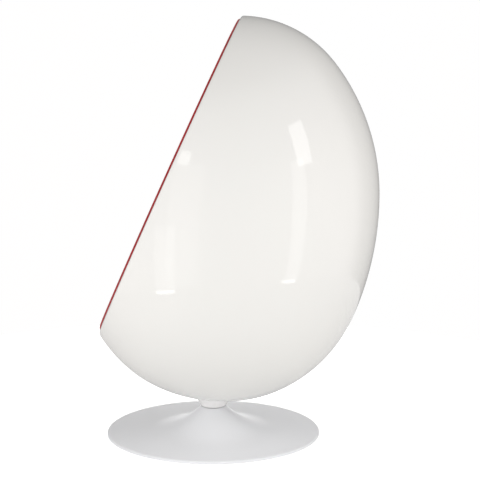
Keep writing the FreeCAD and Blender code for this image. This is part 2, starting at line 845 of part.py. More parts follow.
column = turnedBody("base_column", [
    ("spindleRadius", ballastTop),
    (columnFootRadius, ballastTop),
    (columnFootRadius, footTop),
    (columnRadius, footTop),
    (columnRadius, columnShoulder),
    (spigotRadius, columnShoulder),
    (spigotRadius, raceSeat),
    ("spindleRadius", raceSeat),
])
drillCircle(column, columnBoltCircle, columnBoltHole, "columnBoltCount")
keep(column, "base_column")

columnBolt = headedBolt(
    size("columnBoltRadius"), size("footRingHeight"), size("columnBoltHeadRadius"),
    size("columnBoltHeadHeight"), amount(footTop + " + columnWasherThickness"))
keepShape(ringOfShapes(columnBolt, amount(columnBoltCircle), size("columnBoltCount")), "column_bolts")
columnWasher = washerShape(
    size("columnWasherRadius"), amount(columnBoltHole), size("columnWasherThickness"), amount(footTop))
keepShape(
    ringOfShapes(columnWasher, amount(columnBoltCircle), size("columnBoltCount")), "column_washers")

footRing = turnedBody("foot_ring", [
    (footRingInside, "0"),
    (footRingOutside, "0"),
    (footRingOutside, "footRingHeight"),
    (footRingInside, "footRingHeight"),
])
keep(footRing, "foot_ring")

# Trumpet, at a depth under its outside: a flared arc from the neck, a shallow cone, a rounded
# rim that is tangent to the cone and a short edge down

trumpetRim = size("trumpetRadius")
rimRound = size("trumpetRimRound")
rimBottom = size("trumpetRimBottom")
flare = size("trumpetFlare")
steep = math.radians(size("trumpetNeckSlope"))
shallow = math.radians(size("trumpetFootSlope"))


def slopePoint(centre, radius, slope):
    return centre + Vector(radius * math.sin(slope), 0, radius * math.cos(slope))


def archOf(centre, radius, start, end):
    points = [slopePoint(centre, radius, slope) for slope in (start, (start + end) / 2, end)]
    return Part.Arc(*points).toShape()


flareCentre = slopePoint(Vector(size("swivelRadius"), 0, size("trumpetTop")), flare, steep)
coneStart = slopePoint(flareCentre, -flare, shallow)
coneRun = trumpetRim - rimRound + rimRound * math.sin(shallow) - coneStart.x
coneEnd = coneStart + Vector(coneRun, 0, -coneRun * math.tan(shallow))
rimCentre = slopePoint(coneEnd, -rimRound, shallow)


def trumpetLine(depth):
    rimCorner = Vector(trumpetRim - depth, 0, rimBottom)
    cone = Part.makeLine(
        slopePoint(flareCentre, -flare - depth, shallow), slopePoint(rimCentre, rimRound - depth, shallow))
    return [
        archOf(flareCentre, -flare - depth, steep, shallow),
        cone,
        archOf(rimCentre, rimRound - depth, shallow, math.pi / 2),
        Part.makeLine(slopePoint(rimCentre, rimRound - depth, math.pi / 2), rimCorner),
    ]


def turnedSolid(edges):
    wire = Part.Wire(Part.__sortEdges__(edges))
    return Part.Face(wire).revolve(Vector(0, 0, 0), Vector(0, 0, 1), 360)


def trumpetShape():
    wall = size("trumpetWall")
    neck = slopePoint(flareCentre, -flare, steep)
    underNeck = slopePoint(flareCentre, -flare - wall, steep)
    ledgeOutside = Vector(underNeck.x, 0, amount(columnShoulder))
    ledgeInside = Vector(amount(spigotRadius), 0, amount(columnShoulder))
    neckInside = Vector(amount(spigotRadius), 0, size("trumpetTop"))
    edges = trumpetLine(0) + trumpetLine(wall)
    edges += [
        Part.makeLine(Vector(trumpetRim, 0, rimBottom), Vector(trumpetRim - wall, 0, rimBottom)),
        Part.makeLine(underNeck, ledgeOutside),
        Part.makeLine(ledgeOutside, ledgeInside),
        Part.makeLine(ledgeInside, neckInside),
        Part.makeLine(neckInside, neck),
    ]
    return turnedSolid(edges)


keepShape(trumpetShape(), "base_trumpet")


# The room under the trumpet, which the ballast disc keeps to
def trumpetRoom():
    depth = amount("trumpetWall + ballastGap")
    start = slopePoint(flareCentre, -flare - depth, steep)
    top = Vector(0, 0, start.z)
    bottom = Vector(0, 0, rimBottom)
    edges = trumpetLine(depth)
    edges += [
        Part.makeLine(start, top),
        Part.makeLine(top, bottom),
        Part.makeLine(bottom, Vector(trumpetRim - depth, 0, rimBottom)),
    ]
    return turnedSolid(edges)


ballastBlank = turnedBody("BallastBlank", [
    ("0", "footRingHeight"),
    (ballastRadius, "footRingHeight"),
    (ballastRadius, ballastTop),
    ("0", ballastTop),
])
drillCircle(ballastBlank, columnBoltCircle, "columnBoltRadius", "columnBoltCount")
room = document.addObject("Part::Feature", "TrumpetRoom")
room.Shape = trumpetRoom()
ballast = document.addObject("Part::Common", "ballast_disc")
ballast.Base = ballastBlank
ballast.Tool = room
keep(ballast, "ballast_disc")

# Check every object, then write one file for each piece

document.recompute()
for item in document.Objects:
    if "Invalid" in item.State or "Error" in item.State:
        raise RuntimeError(f"{item.Label} failed: {item.State}")

os.makedirs("parts", exist_ok=True)
for item in nodes:
    shape = item.Shape
    if shape.isNull() or not shape.isValid() or not shape.Solids:
        raise RuntimeError(f"{item.Label} has no valid shape")
    box = shape.BoundBox
    print(f"{item.Label}: {len(shape.Solids)} solids, {shape.Volume / 1000:.1f} cm3, "
          f"z {box.ZMin:.1f} to {box.ZMax:.1f}")
    shape.exportStep(f"parts/{item.Label}.step")
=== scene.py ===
import math

import bmesh
import bpy
import numpy as np
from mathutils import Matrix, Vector


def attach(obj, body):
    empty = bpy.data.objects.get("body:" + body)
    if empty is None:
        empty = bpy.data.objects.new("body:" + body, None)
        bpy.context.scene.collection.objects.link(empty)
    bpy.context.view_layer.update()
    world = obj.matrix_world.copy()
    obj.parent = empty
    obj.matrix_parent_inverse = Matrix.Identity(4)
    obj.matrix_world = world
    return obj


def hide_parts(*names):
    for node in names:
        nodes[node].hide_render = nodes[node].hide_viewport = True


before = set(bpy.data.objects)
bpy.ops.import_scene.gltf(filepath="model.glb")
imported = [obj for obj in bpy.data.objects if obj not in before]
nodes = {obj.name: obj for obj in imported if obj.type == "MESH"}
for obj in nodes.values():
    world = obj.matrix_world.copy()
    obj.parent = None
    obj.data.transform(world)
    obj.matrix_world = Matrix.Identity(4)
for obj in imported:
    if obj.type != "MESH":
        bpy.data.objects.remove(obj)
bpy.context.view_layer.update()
print("frame loaded")

# Shader maths: a socket whose operators add Math nodes, and one method for every other node


class Wire:
    def __init__(self, socket):
        self.socket = socket

    def joined(self, operation, first, second=None):
        tree = self.socket.id_data
        node = tree.nodes.new("ShaderNodeMath")
        node.operation = operation
        for index, value in enumerate((first, second)):
            if isinstance(value, Wire):
                tree.links.new(value.socket, node.inputs[index])
            elif value is not None:
                node.inputs[index].default_value = value
        return Wire(node.outputs[0])

    def __add__(self, other):
        return self.joined("ADD", self, other)

    def __radd__(self, other):
        return self.joined("ADD", other, self)

    def __sub__(self, other):
        return self.joined("SUBTRACT", self, other)

    def __rsub__(self, other):
        return self.joined("SUBTRACT", other, self)

    def __mul__(self, other):
        return self.joined("MULTIPLY", self, other)

    def __rmul__(self, other):
        return self.joined("MULTIPLY", other, self)

    def __truediv__(self, other):
        return self.joined("DIVIDE", self, other)

    def __abs__(self):
        return self.joined("ABSOLUTE", self)

    def __lt__(self, other):
        return self.joined("LESS_THAN", self, other)

    def sine(self):
        return self.joined("SINE", self)

    def power(self, exponent):
        return self.joined("POWER", self, exponent)

    def fraction(self):
        return self.joined("FRACT", self)

    def clipped(self):
        return self.joined("MAXIMUM", self.joined("MINIMUM", self, 1.0), 0.0)

    # From 0 to 1 without a corner at either end
    def eased(self):
        share = self.clipped()
        return share * share * (3 - 2 * share)

    # 1 at zero, falling to 0 at a half width
    def near(self, halfWidth):
        return (1 - abs(self) / halfWidth).clipped()


class Paint:
    def __init__(self, name, **constants):
        self.material = bpy.data.materials.new(name)
        self.material.use_nodes = True
        self.tree = self.material.node_tree
        self.shader = self.tree.nodes["Principled BSDF"]
        for socket, value in constants.items():
            self.shader.inputs[socket.replace("_", " ")].default_value = value
        self.material.diffuse_color = self.shader.inputs["Base Color"].default_value[:]

    def node(self, kind, settings=None, inputs=None, output=0):
        node = self.tree.nodes.new(kind)
        for key, value in (settings or {}).items():
            if key == "stops":
                while len(node.color_ramp.elements) < len(value):
                    node.color_ramp.elements.new(0.5)
                for element, (place, colour) in zip(node.color_ramp.elements, value):
                    element.position = place
                    element.color = colour
            else:
                setattr(node, key, value)
        for key, value in (inputs or {}).items():
            if isinstance(value, Wire):
                self.tree.links.new(value.socket, node.inputs[key])
            else:
                node.inputs[key].default_value = value
        return Wire(node.outputs[output])

    def place(self):
        return self.node("ShaderNodeTexCoord", output="Object")

    def attribute(self, name):
        return self.node("ShaderNodeAttribute", {"attribute_name": name}, output="Fac")

    def parts(self, vector):
        split = self.node("ShaderNodeSeparateXYZ", inputs={"Vector": vector})
        return [Wire(output) for output in split.socket.node.outputs]

    def noise(self, scale, detail=3.0, roughness=0.5, stretch=None):
        vector = self.place()
        if stretch:
            vector = self.node("ShaderNodeMapping", inputs={"Vector": vector, "Scale": stretch})
        inputs = {"Vector": vector, "Scale": scale, "Detail": detail, "Roughness": roughness}
        return self.node("ShaderNodeTexNoise", inputs=inputs)

    def mixed(self, share, first, second):
        inputs = {0: share, 6: first, 7: second}
        return self.node("ShaderNodeMix", {"data_type": "RGBA"}, inputs, output=2)

    def feed(self, **wires):
        for socket, wire in wires.items():
            self.tree.links.new(wire.socket, self.shader.inputs[socket.replace("_", " ")])
        return self

    # Base colour between two colours, and what else changes over the surface
    def toned(self, share, first, second, **wires):
        return self.feed(Base_Color=self.mixed(share, first, second), **wires)

    # Bump from a height in metres
    def raised(self, height):
        bump = self.node("ShaderNodeBump", inputs={"Height": height, "Strength": 1.0, "Distance": 1.0})
        return self.feed(Normal=bump)


def colour(red, green, blue):
    return (red, green, blue, 1.0)


# What a length is multiplied by for one full wave in each pitch
def wavesOf(pitch):
    return 2 * math.pi / pitch


# A new object in the scene
def added(name, data):
    piece = bpy.data.objects.new(name, data)
    bpy.context.scene.collection.objects.link(piece)
    return piece


# Surfaces: rows of rings, where a first or last row that is a single point closes a pole
def surface(name, rows, paint, closedRows=False):
    points = []
    starts = []
    for row in rows:
        starts.append(sum(len(part) for part in points))
        points.append(np.atleast_2d(row))
    count = max(len(part) for part in points)
    index = np.arange(count)
    following = (index + 1) % count
    faces = []
    order = list(range(len(rows))) + ([0] if closedRows else [])
    for lower, upper in zip(order, order[1:]):
        if len(points[lower]) == 1:
            pole = np.full(count, starts[lower])
            faces += np.stack([pole, starts[upper] + following, starts[upper] + index], 1).tolist()
        elif len(points[upper]) == 1:
            pole = np.full(count, starts[upper])
            faces += np.stack([starts[lower] + index, starts[lower] + following, pole], 1).tolist()
        else:
            faces += np.stack([starts[lower] + index, starts[lower] + following,
                               starts[upper] + following, starts[upper] + index], 1).tolist()
    mesh = bpy.data.meshes.new(name)
    mesh.from_pydata(np.concatenate(points).tolist(), [], faces)
    mesh.validate()
    piece = added(name, mesh)
    mesh.materials.append(paint.material)
    mesh.shade_smooth()
    outwards(piece)
    return piece


# Faces point outwards, so that the closed mesh holds a volume above zero
def outwards(piece):
    work = bmesh.new()
    work.from_mesh(piece.data)
    bmesh.ops.recalc_face_normals(work, faces=work.faces[:])
    if work.calc_volume(signed=True) < 0:
        bmesh.ops.reverse_faces(work, faces=work.faces[:])
    work.to_mesh(piece.data)
    work.free()


# A value for each point of a mesh, which its material reads
def mark(piece, name, values):
    layer = piece.data.attributes.new(name, "FLOAT", "POINT")
    layer.data.foreach_set("value", np.asarray(values, dtype=np.float32))


# Turned piece: a profile of radius and height carried round the swivel axis
def turned(name, profile, paint, steps):
    around = np.linspace(0, 2 * np.pi, steps, endpoint=False)
    rows = []
    for radius, height in profile:
        rows.append(np.stack([radius * np.cos(around), radius * np.sin(around), np.full(steps, height)], 1))
    return surface(name, rows, paint)


# Egg form. In the round form the distance from the centre is a function of the angle from the
# crown, a cosine series fitted to four tangent arcs. The egg is then pressed from side to side.
# The outline runs from the crown down; the last arc has the radius that brings it to the axis.

egg = {
    "radii": [0.3651, 0.6610, 0.9397],
    "turns": [0.0, 43.6, 80.8, 104.9, 180.0],
    "halfWidth": 0.430,
    "tilt": 8.6,
    "centre": (0.0, 0.0492, 0.7066),
    "openingTilt": 24.4,
    "openingDistance": 0.2093,
    "terms": 36,
    "softening": 0.03,
    "flat": 0.006,
    "flatReach": 25.0,
}


# Centre, radius and both turns of each arc, with the outline's middle height at zero
def eggArcs():
    turns = np.radians(egg["turns"])
    radii = list(egg["radii"])
    sideways = sum(r * (math.sin(b) - math.sin(a)) for r, a, b in zip(radii, turns, turns[1:]))
    radii.append(sideways / math.sin(turns[3]))
    arcs = []
    end = np.zeros(2)
    for radius, start, stop in zip(radii, turns, turns[1:]):
        centre = end - radius * np.array([math.sin(start), math.cos(start)])
        arcs.append((centre, radius, start, stop))
        end = centre + radius * np.array([math.sin(stop), math.cos(stop)])
    lift = np.array([0.0, -end[1] / 2])
    return [(centre + lift, radius, start, stop) for centre, radius, start, stop in arcs]


arcs = eggArcs()
pressShare = egg["halfWidth"] / (arcs[2][0][0] + arcs[2][1])
press = np.array([pressShare, 1.0, 1.0])
eggCentre = np.array(egg["centre"])
seriesOf = {}


# Weights of the cosines for the outline drawn in by an inset; the higher ones are damped, which
# softens the joins of the arcs
def eggSeries(inset):
    if inset not in seriesOf:
        outline = []
        for centre, radius, start, stop in arcs:
            turn = np.linspace(start, stop, 1500)
            outline.append(centre + (radius - inset) * np.stack([np.sin(turn), np.cos(turn)], 1))
        outline = np.concatenate(outline)
        angle = np.arctan2(np.abs(outline[:, 0]), outline[:, 1])
        even = (np.arange(4096) + 0.5) * np.pi / 4096
        reach = np.interp(even, angle, np.hypot(outline[:, 0], outline[:, 1]))
        order = np.arange(egg["terms"])
        weights = 2 * np.cos(order[:, None] * even) @ reach / len(even)
        weights[0] /= 2
        seriesOf[inset] = weights * np.exp(-0.5 * (order * egg["softening"]) ** 2)
    return seriesOf[inset]


# The bowl is a little flatter than its arc: a squared cosine about the lower pole
def flattening(angle):
    away = np.clip((math.pi - angle) / math.radians(egg["flatReach"]), 0.0, 1.0)
    return egg["flat"] * np.cos(away * math.pi / 2) ** 2


# Distance from the centre at an angle from the crown: the sum of the cosines, less the flattening
def eggReach(angle, inset):
    reach = -flattening(angle)
    for order, weight in enumerate(eggSeries(inset)):
        reach += weight * np.cos(order * angle)
    return reach


tilt = math.radians(egg["tilt"])
openingTilt = math.radians(egg["openingTilt"])
crownWay = np.array([0.0, math.sin(tilt), math.cos(tilt)])
sideWay = np.array([1.0, 0.0, 0.0])
backWay = np.cross(crownWay, sideWay)
inwards = np.array([0.0, math.cos(openingTilt), -math.sin(openingTilt)])  # from the opening
upWay = np.array([0.0, math.sin(openingTilt), math.cos(openingTilt)])


# A way from the centre: the swing away from inwards, towards the side and up ways by around
def eggDirection(around, swing):
    across = np.cos(around)[..., None] * sideWay + np.sin(around)[..., None] * upWay
    return np.cos(swing)[..., None] * inwards + np.sin(swing)[..., None] * across


# Point of the round egg on that way, before pressing
def eggSurface(around, swing, inset):
    way = eggDirection(around, swing)
    angle = np.arccos(np.clip(way @ crownWay, -1, 1))
    return way * eggReach(angle, inset)[..., None]


# The swing at which the egg's surface is at a depth behind the opening's plane, by halving
def swingAt(around, inset, depth):
    low = np.full(around.shape, 0.3 * np.pi)
    high = np.full(around.shape, 0.98 * np.pi)
    for _ in range(34):
        middle = (low + high) / 2
        deeper = eggSurface(around, middle, inset) @ inwards > depth - egg["openingDistance"]
        low = np.where(deeper, middle, low)
        high = np.where(deeper, high, middle)
    return (low + high) / 2


def placed(roundPoints):
    return roundPoints * press + eggCentre


def unplaced(points):
    return (points - eggCentre) / press


# One ring of the egg's surface, by its inset and its depth behind the opening's plane
def eggRing(around, inset, depth):
    return placed(eggSurface(around, swingAt(around, inset, depth), inset))


# Rows of the egg's surface from the pole at the back out to a depth behind the opening's plane
def eggRows(around, inset, depth, count):
    edge = swingAt(around, inset, depth)
    rows = [placed(eggSurface(around[:1], edge[:1] * 0, inset))]
    for share in np.linspace(0, 1, count + 1)[1:]:
        rows.append(placed(eggSurface(around, edge * share, inset)))
    return rows


# Materials of the outside

gelcoat = Paint("shellGelcoat", Base_Color=colour(0.86, 0.845, 0.83), Roughness=0.05, IOR=1.5)
orangePeel = gelcoat.noise(90.0, 2.0) * 0.00003
waviness = gelcoat.noise(5.0, 2.0) * 0.0006
gelcoat.raised(orangePeel + waviness)
gelcoat.toned(gelcoat.noise(3.0, 4.0), colour(0.860, 0.855, 0.822), colour(0.848, 0.846, 0.820),
              Roughness=0.035 + gelcoat.noise(25.0, 4.0) * 0.03)

neckPaint = Paint("neckPaint", Roughness=0.12, Coat_Weight=0.6, Coat_Roughness=0.05)
neckPaint.toned(neckPaint.noise(40.0), colour(0.97, 0.96, 0.95), colour(0.955, 0.945, 0.935))
neckPaint.raised(neckPaint.noise(300.0, 2.0) * 0.00002)

pedestalPaint = Paint("pedestalPaint", Roughness=0.5, Coat_Weight=0.05, Coat_Roughness=0.3)
speck = pedestalPaint.noise(900.0, 2.0)
pedestalPaint.toned(pedestalPaint.noise(6.0, 4.0), colour(0.92, 0.93, 0.95), colour(0.905, 0.92, 0.945),
                    Roughness=0.46 + pedestalPaint.noise(30.0, 4.0) * 0.08)
pedestalPaint.raised(speck * 0.00002 + pedestalPaint.noise(260.0, 2.0) * 0.00003)
print("outside materials made")

# Shell: the egg's surface out to the lip, a quarter round, the flange's face with a rounded inner
# edge, and behind the flange the egg drawn in by the wall

shell = {
    "around": 360,
    "rows": 176,
    "insideRows": 60,
    "wall": 0.007,
    "flangeWidth": 0.020,
    "flangeWall": 0.007,
    "lip": 0.006,
    "edgeRound": 0.0012,
}


def makeShell():
    around = np.linspace(0, 2 * np.pi, shell["around"], endpoint=False)
    lip = shell["lip"]
    small = shell["edgeRound"]
    rows = eggRows(around, 0.0, lip, shell["rows"])
    for turn in np.radians(np.linspace(0, 90, 9))[1:]:
        rows.append(eggRing(around, lip * (1 - math.cos(turn)), lip * (1 - math.sin(turn))))
    for turn in np.radians(np.linspace(0, 90, 4)):
        rows.append(eggRing(around, shell["flangeWidth"] - small * (1 - math.sin(turn)),
                            small * (1 - math.cos(turn))))
    rows.append(eggRing(around, shell["flangeWidth"], shell["flangeWall"]))
    rows += eggRows(around, shell["wall"], shell["flangeWall"], shell["insideRows"])[::-1]
    piece = surface("shell", rows, gelcoat)
    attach(piece, "chair")
    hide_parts("outer_shell")


makeShell()
print("shell made")

# Pedestal trumpet, turned on the swivel axis. Its profile, at a depth under the outside, is a
# hollow arc from a steep slope to a shallow one, a straight cone, and a round at the rim.

trumpet = {
    "rim": 0.334,
    "top": 0.0862,
    "neck": 0.040,
    "wall": 0.003,
    "flare": 0.240,
    "neckSlope": 45.0,
    "footSlope": 3.0,
    "rimRound": 0.006,
    "rimBottom": 0.0015,
    "spigot": 0.025,
    "edgeRound": 0.0012,
    "steps": 288,
}


def trumpetProfile(depth):
    steep, shallow = np.radians([trumpet["neckSlope"], trumpet["footSlope"]])
    flare = trumpet["flare"]
    rimRound = trumpet["rimRound"]
    centre = np.array([trumpet["neck"] + flare * math.sin(steep), trumpet["top"] + flare * math.cos(steep)])
    slope = np.linspace(steep, shallow, 48)
    arch = centre - (flare + depth) * np.stack([np.sin(slope), np.cos(slope)], 1)
    start = centre - flare * np.array([math.sin(shallow), math.cos(shallow)])
    run = trumpet["rim"] - rimRound + rimRound * math.sin(shallow) - start[0]
    end = start + np.array([run, -run * math.tan(shallow)])
    rimCentre = end - rimRound * np.array([math.sin(shallow), math.cos(shallow)])
    turn = np.linspace(shallow, np.pi / 2, 12)
    rim = rimCentre + (rimRound - depth) * np.stack([np.sin(turn), np.cos(turn)], 1)
    share = np.linspace(0, 1, 26)[1:-1, None]
    cone = arch[-1] * (1 - share) + rim[0] * share
    edge = [[trumpet["rim"] - depth, trumpet["rimBottom"]]]
    return np.concatenate([arch, cone, rim, edge])


def makeTrumpet():
    outside = trumpetProfile(0.0)
    inside = trumpetProfile(trumpet["wall"])[::-1]
    small = trumpet["edgeRound"]
    turn = np.radians(np.linspace(90, 45, 5))
    lip = outside[0] + np.stack([-small + small * np.cos(turn), -small + small * np.sin(turn)], 1)
    lip += np.array([small - small * math.cos(turn[-1]), small - small * math.sin(turn[-1])])
    spigot = trumpet["spigot"]
    under = trumpet["top"] - trumpet["wall"]
    profile = [[spigot, trumpet["top"]], *lip, *outside[1:], *inside, [inside[-1][0], under], [spigot, under],
               [spigot, trumpet["top"]]]
    return turned("trumpet", profile, pedestalPaint, trumpet["steps"])


# Points in one place become one, so that seams close
def closeSeams(piece):
    work = bmesh.new()
    work.from_mesh(piece.data)
    bmesh.ops.remove_doubles(work, verts=work.verts[:], dist=1e-6)
    work.to_mesh(piece.data)
    work.free()
    outwards(piece)


pedestalCover = makeTrumpet()
closeSeams(pedestalCover)
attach(pedestalCover, "pedestal")
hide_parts("base_trumpet")

# Neck: a straight cone from the swivel gap up to the shell, with a recess round the hub below

neck = {
    "steps": 192,
    "bottom": 0.0886,
    "bottomRadius": 0.040,
    "topRadius": 0.058,
    "top": 0.1226,
    "edgeRound": 0.001,
    "recess": 0.024,
    "hub": 0.022,
    "step": 0.096,
}


# Height of the egg's underside over a place on the floor: the lower crossing of its last arc,
# raised by the flattening
def underside(x, y):
    centre, radius, _, _ = arcs[3]
    middle = centre[1] * crownWay + eggCentre
    height = middle[2] - np.sqrt(radius ** 2 - (x / pressShare) ** 2 - (y - middle[1]) ** 2)
    way = np.stack([x / pressShare, y - eggCentre[1], height - eggCentre[2]], -1)
    return height + flattening(np.arccos(way @ crownWay / np.linalg.norm(way, axis=-1)))


def makeNeck():
    steps = neck["steps"]
    around = np.linspace(0, 2 * np.pi, steps, endpoint=False)
    cosine, sine = np.cos(around), np.sin(around)
    small = neck["edgeRound"]
    slope = (neck["topRadius"] - neck["bottomRadius"]) / (neck["top"] - neck["bottom"])

    def ring(radius, height):
        return np.stack([radius * cosine, radius * sine, np.broadcast_to(height, steps)], 1)

    # the cone's top edge is where its radius meets the shell's underside, found by a few steps
    reach = np.full(steps, neck["topRadius"])
    for _ in range(30):
        height = underside(reach * cosine, reach * sine)
        reach = neck["bottomRadius"] + slope * (height - neck["bottom"])
    hub = neck["hub"]
    rows = [ring(hub, underside(hub * cosine, hub * sine)), ring(reach, height)]
    for share in np.linspace(0, 1, 18)[1:-1]:
        middle = height * (1 - share) + (neck["bottom"] + small) * share
        rows.append(ring(neck["bottomRadius"] + slope * (middle - neck["bottom"]), middle))
    for turn in np.radians(np.linspace(0, 90, 5)):
        radius = neck["bottomRadius"] - small * (1 - math.cos(turn))
        rows.append(ring(radius, neck["bottom"] + small * (1 - math.sin(turn))))
    rows.append(ring(neck["recess"], neck["bottom"]))
    rows.append(ring(neck["recess"], neck["step"]))
    rows.append(ring(hub, neck["step"]))
    piece = surface("neckCone", rows, neckPaint, closedRows=True)
    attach(piece, "chair")
    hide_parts("neck_cone")


makeNeck()
print("pedestal and neck made")

# Cloth, foam and tape. The wool is felted, with flecks, a fine basket weave and short fibres.


def wool(name, dark, middle, bright):
    paint = Paint(name, Roughness=0.85, Sheen_Weight=0.45, Sheen_Roughness=0.4,
                  Sheen_Tint=colour(0.9, 0.45, 0.45), Specular_IOR_Level=0.25)
    wander = paint.noise(260.0, 2.0) * 1.6
    waves = [(axis * wavesOf(0.0022) + wander).sine() for axis in paint.parts(paint.place())]
    weave = waves[0] * waves[1] + waves[1] * waves[2] + waves[2] * waves[0]
    fleck = paint.noise(1500.0, 2.0, 0.6)
    patch = paint.noise(7.0, 3.0)
    tone = (fleck * 1.5 - 0.5 + patch * 0.5 - 0.2 + weave * 0.05).clipped()
    stops = [(0.15, dark), (0.5, middle), (0.9, bright)]
    shade = paint.node("ShaderNodeValToRGB", {"stops": stops}, {"Fac": tone})
    paint.feed(Base_Color=shade, Roughness=0.78 + paint.noise(2.2, 2.0) * 0.14)
    paint.weaveHeight = weave * 0.00006 + fleck * 0.00016 + paint.noise(420.0, 3.0) * 0.00018
    return paint


coverWool = wool("coverWool", dark=colour(0.20, 0.006, 0.012), middle=colour(0.36, 0.014, 0.026),
                 bright=colour(0.50, 0.032, 0.048))
cushionWool = wool("cushionWool", dark=colour(0.22, 0.007, 0.013), middle=colour(0.38, 0.016, 0.028),
                   bright=colour(0.52, 0.036, 0.052))
# The piping is the same red wool as the cover, with its three colours painted lighter: painted light for the
# light the piping catches at the edge
pipingWoolPaintedLighter = wool("pipingWoolPaintedLighter", dark=colour(0.27, 0.012, 0.016), middle=colour(0.46, 0.028, 0.032),
                  bright=colour(0.60, 0.050, 0.052))

# On the cover, seamDistance is 0 on a seam and seamRun is the length along it: a crease, with a
# row of stitches on each side
seamDistance = coverWool.attribute("seamDistance")
seamRun = coverWool.attribute("seamRun")
crease = seamDistance.near(0.0022)
stitchShare = (seamRun / 0.0065).fraction()
stitch = (abs(seamDistance) - 0.007).near(0.0009) * (abs(stitchShare - 0.5) < 0.34)
coverWool.raised(coverWool.weaveHeight - crease * 0.0012 + stitch * 0.0006)
cushionWool.raised(cushionWool.weaveHeight)

# The piping's cover is cut on the bias, so its threads run round it at a slant
pipingRun = pipingWoolPaintedLighter.attribute("pipingRun")
pipingTurn = pipingWoolPaintedLighter.attribute("pipingTurn")
threads = pipingRun * wavesOf(0.0021)
slant = (threads + pipingTurn).sine() + (threads - pipingTurn).sine()
pipingWoolPaintedLighter.raised(pipingWoolPaintedLighter.weaveHeight + slant * 0.00007)

foam = Paint("foam", Roughness=0.95, Specular_IOR_Level=0.2)
pore = foam.node("ShaderNodeTexVoronoi", inputs={"Vector": foam.place(), "Scale": 900.0})
foam.toned(foam.noise(14.0, 4.0), colour(0.86, 0.80, 0.58), colour(0.78, 0.70, 0.46))
foam.raised(pore * 0.0006 + foam.noise(60.0) * 0.0004)

stripTape = Paint("stripTape", Roughness=0.9, Sheen_Weight=0.3)
loops = stripTape.noise(1700.0, 2.0, 0.7)
stripTape.toned(loops, colour(0.02, 0.02, 0.02), colour(0.075, 0.073, 0.07))
stripTape.raised(loops * 0.0005)
print("cloth, foam and tape made")

# Metal, wood, rubber and plastic of the parts that come from the frame

zincPlate = Paint("zincPlate", Metallic=1.0, Roughness=0.3)
zincPlate.toned(zincPlate.noise(180.0, 3.0), colour(0.66, 0.65, 0.60), colour(0.56, 0.57, 0.58),
                Roughness=0.26 + zincPlate.noise(320.0, 3.0) * 0.16)
zincPlate.raised(zincPlate.noise(1400.0, 2.0) * 0.00002)

turnedSteel = Paint("turnedSteel", Metallic=1.0, Roughness=0.22)
x, y, z = turnedSteel.parts(turnedSteel.place())
toolMarks = (((x * x + y * y).power(0.5) + z) * wavesOf(0.0005)).sine()
turnedSteel.toned(turnedSteel.noise(90.0), colour(0.60, 0.60, 0.61), colour(0.50, 0.50, 0.52),
                  Roughness=0.18 + turnedSteel.noise(200.0, 3.0) * 0.12)
turnedSteel.raised(toolMarks * 0.000004)

bushPlastic = Paint("bushPlastic", Roughness=0.5)
bushPlastic.toned(bushPlastic.noise(160.0), colour(0.08, 0.08, 0.085), colour(0.12, 0.12, 0.13),
                  Roughness=0.42 + bushPlastic.noise(700.0, 3.0) * 0.2)
bushPlastic.raised(bushPlastic.noise(1500.0, 2.0) * 0.00003)

# Plywood: veneers by height, and grain along X
boardWood = Paint("boardWood", Roughness=0.6)
veneer = (boardWood.parts(boardWood.place())[2] / 0.0028).fraction()
grain = boardWood.noise(60.0, 5.0, 0.6, stretch=(1.0, 9.0, 9.0))
boardWood.toned(grain * 0.7 + (veneer < 0.5) * 0.3, colour(0.62, 0.43, 0.25), colour(0.42, 0.27, 0.14),
                Roughness=0.55 + grain * 0.2)
boardWood.raised(grain * 0.00025)

blackSteel = Paint("blackSteel", Roughness=0.45)
blackSteel.toned(blackSteel.noise(30.0, 5.0), colour(0.035, 0.035, 0.038), colour(0.065, 0.065, 0.07),
                 Roughness=0.38 + blackSteel.noise(260.0, 3.0) * 0.18)
blackSteel.raised(blackSteel.noise(800.0, 2.0) * 0.00006)

ballastIron = Paint("ballastIron", Roughness=0.7, Metallic=0.4)
sand = ballastIron.noise(500.0, 4.0, 0.6)
ballastIron.toned(ballastIron.noise(25.0, 5.0), colour(0.12, 0.12, 0.125), colour(0.20, 0.195, 0.19),
                  Roughness=0.6 + sand * 0.25)
ballastIron.raised(sand * 0.0003)

footRubber = Paint("footRubber", Roughness=0.8)
x, y, _ = footRubber.parts(footRubber.place())
ripple = ((x * x + y * y).power(0.5) * wavesOf(0.003)).sine()
footRubber.toned(footRubber.noise(80.0, 4.0), colour(0.025, 0.025, 0.026), colour(0.05, 0.049, 0.047),
                 Roughness=0.7 + footRubber.noise(300.0) * 0.2)
footRubber.raised(ripple * 0.00008 + footRubber.noise(900.0, 2.0) * 0.0001)

carriedOver = (
    (zincPlate, "hub_bolts", "hub_washers", "board_screws", "column_bolts", "column_washers",
     "keeper_washer"),
    (turnedSteel, "keeper_circlip", "spindle", "bearing_lower_race", "bearing_upper_race", "bearing_balls"),
    (bushPlastic, "lower_bush", "upper_bush", "bearing_cage"),
    (boardWood, "mounting_board"),
    (blackSteel, "hub_plate", "hub_tube", "base_column"),
    (ballastIron, "ballast_disc"),
    (footRubber, "foot_ring"),
)
for paint, *nodeNames in carriedOver:
    for nodeName in nodeNames:
        for place in nodes[nodeName].material_slots:
            place.material = paint.material
print("metal, wood, rubber and plastic assigned")

# Piping round the opening: its inset follows a cosine and its height a sine, a half round of cloth

piping = {
    "around": 720,
    "inset": 0.0145,
    "halfWidth": 0.0055,
    "proud": 0.006,
    "sides": 14,
}


# Length along a closed line up to each of its points, and its whole length
def arcLength(points):
    steps = np.linalg.norm(np.roll(points, -1, 0) - points, axis=1)
    return np.concatenate([[0.0], np.cumsum(steps)[:-1]]), steps.sum()


